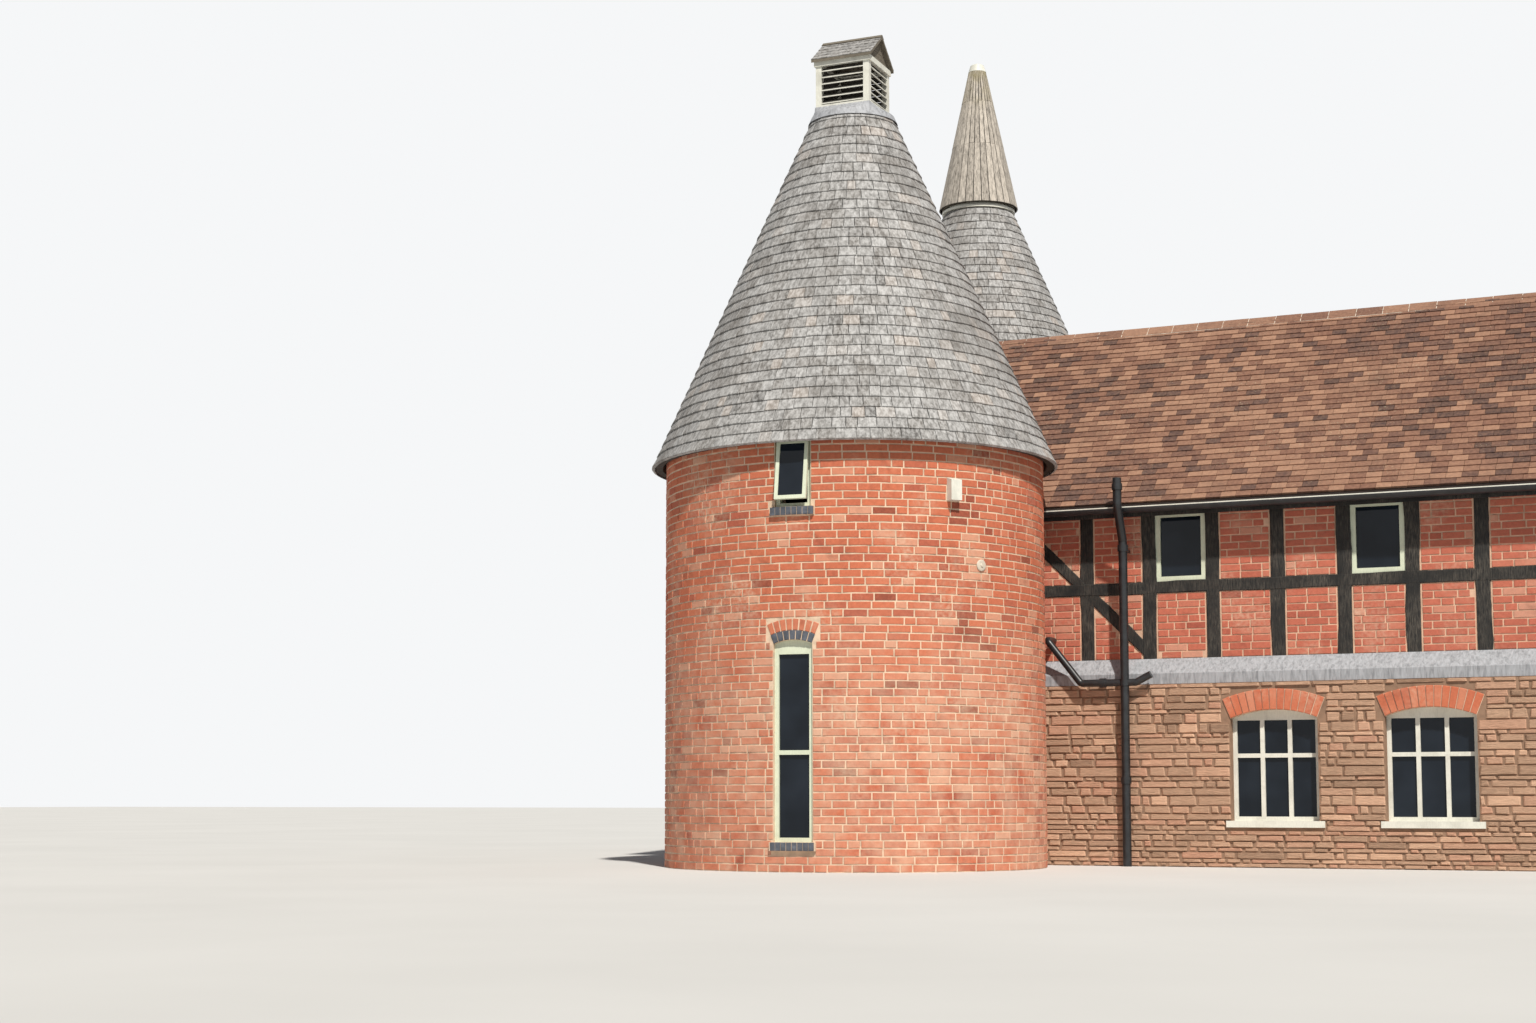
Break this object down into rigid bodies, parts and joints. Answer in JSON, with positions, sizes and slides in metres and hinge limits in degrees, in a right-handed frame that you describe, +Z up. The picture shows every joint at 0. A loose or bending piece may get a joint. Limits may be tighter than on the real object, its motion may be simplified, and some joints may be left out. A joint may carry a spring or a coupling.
{
  "type": "oast house",
  "caption": "Farm building for drying hops: two round brick kilns with conical shingled roofs, one vented and one with a turning cowl, beside a half-timbered wing over stone.",
  "frame": {"origin": "middle of the building's bounding box, at ground level", "axes": "+X along the wing's ridge, away from the kilns; -Y the front, where the lower kiln stands; +Z up"},
  "size_m": [13.6272, 11.9958, 11.455],
  "materials": {
    "kiln_brick": "weathered orange-red brick in pale mortar",
    "blue_brick": "dark blue-grey engineering brick",
    "panel_brick": "pinkish red brick",
    "arch_brick": "orange brick",
    "sandstone": "thin-bedded pinkish-brown rubble",
    "shingles": "silver-grey weathered shingles",
    "clay_tiles": "mixed red-brown plain tiles",
    "ridge_clay": "orange clay ridge tiles",
    "black_timber": "black-painted oak, weathered grey",
    "floor_boards": "bare boards and joists",
    "floor_flags": "stone flags",
    "pale_timber": "weathered pale boards",
    "vent_paint": "off-white paint on timber",
    "vent_tile": "grey boards and shingles",
    "window_paint": "pale cream-green paint",
    "white_paint": "white paint",
    "window_glass": "dark glass",
    "lead": "dull grey lead sheet",
    "iron": "black iron",
    "black_pipe": "black pipe",
    "mortar": "pale mortar",
    "nest_wood": "pale painted box"
  },
  "bodies": {
    "building": {"front_kiln_wall_1": "kiln_brick", "front_kiln_wall_2": "kiln_brick", "rear_kiln_wall_1": "kiln_brick", "rear_kiln_wall_2": "kiln_brick", "kiln_window_arches": "blue_brick", "kiln_window_sills": "blue_brick", "kiln_window_frames": "window_paint", "kiln_window_sashes": "window_paint", "kiln_window_glass": "window_glass", "kiln_floors": "floor_boards", "kiln_wall_plates": "floor_boards", "front_kiln_roof": "shingles", "rear_kiln_roof": "shingles", "nest_box": "nest_wood", "vent_frame": "vent_paint", "vent_louvres": "vent_paint", "vent_head_boards": "vent_paint", "vent_roof": "vent_tile", "lead_apron": "lead", "kiln_curb": "white_paint", "spindle_beam": "floor_boards", "cowl_spindle": "iron", "front_stone_wall": "sandstone", "rear_stone_wall": "sandstone", "left_stone_wall": "sandstone", "right_stone_wall": "sandstone", "stone_window_arches": "arch_brick", "stone_window_sills": "white_paint", "stone_window_frames": "white_paint", "stone_window_glass": "window_glass", "ground_floor": "floor_flags", "first_floor": "floor_boards", "lead_ledges": "lead", "front_timber_frame": "black_timber", "rear_timber_frame": "black_timber", "left_gable_frame": "black_timber", "right_gable_frame": "black_timber", "brick_panels": "panel_brick", "casement_frames": "window_paint", "casement_glass": "window_glass", "front_roof_slope": "clay_tiles", "rear_roof_slope": "clay_tiles", "ridge_tiles": "ridge_clay", "eaves_fascias": "black_timber", "gutters": "iron", "kiln_flashings": "lead", "mortar_fillet": "mortar", "soil_pipe": "black_pipe"},
    "cowl": {"cowl_shell": "pale_timber", "cowl_frame": "pale_timber", "cowl_cap": "white_paint"}
  },
  "joints": [
    {"name": "cowl_turn", "type": "hinge", "parent": "building", "child": "cowl", "pos_m": [-4.57575, 3.76, 9.265], "axis": [0, 0, 1], "continuous": true}
  ]
}
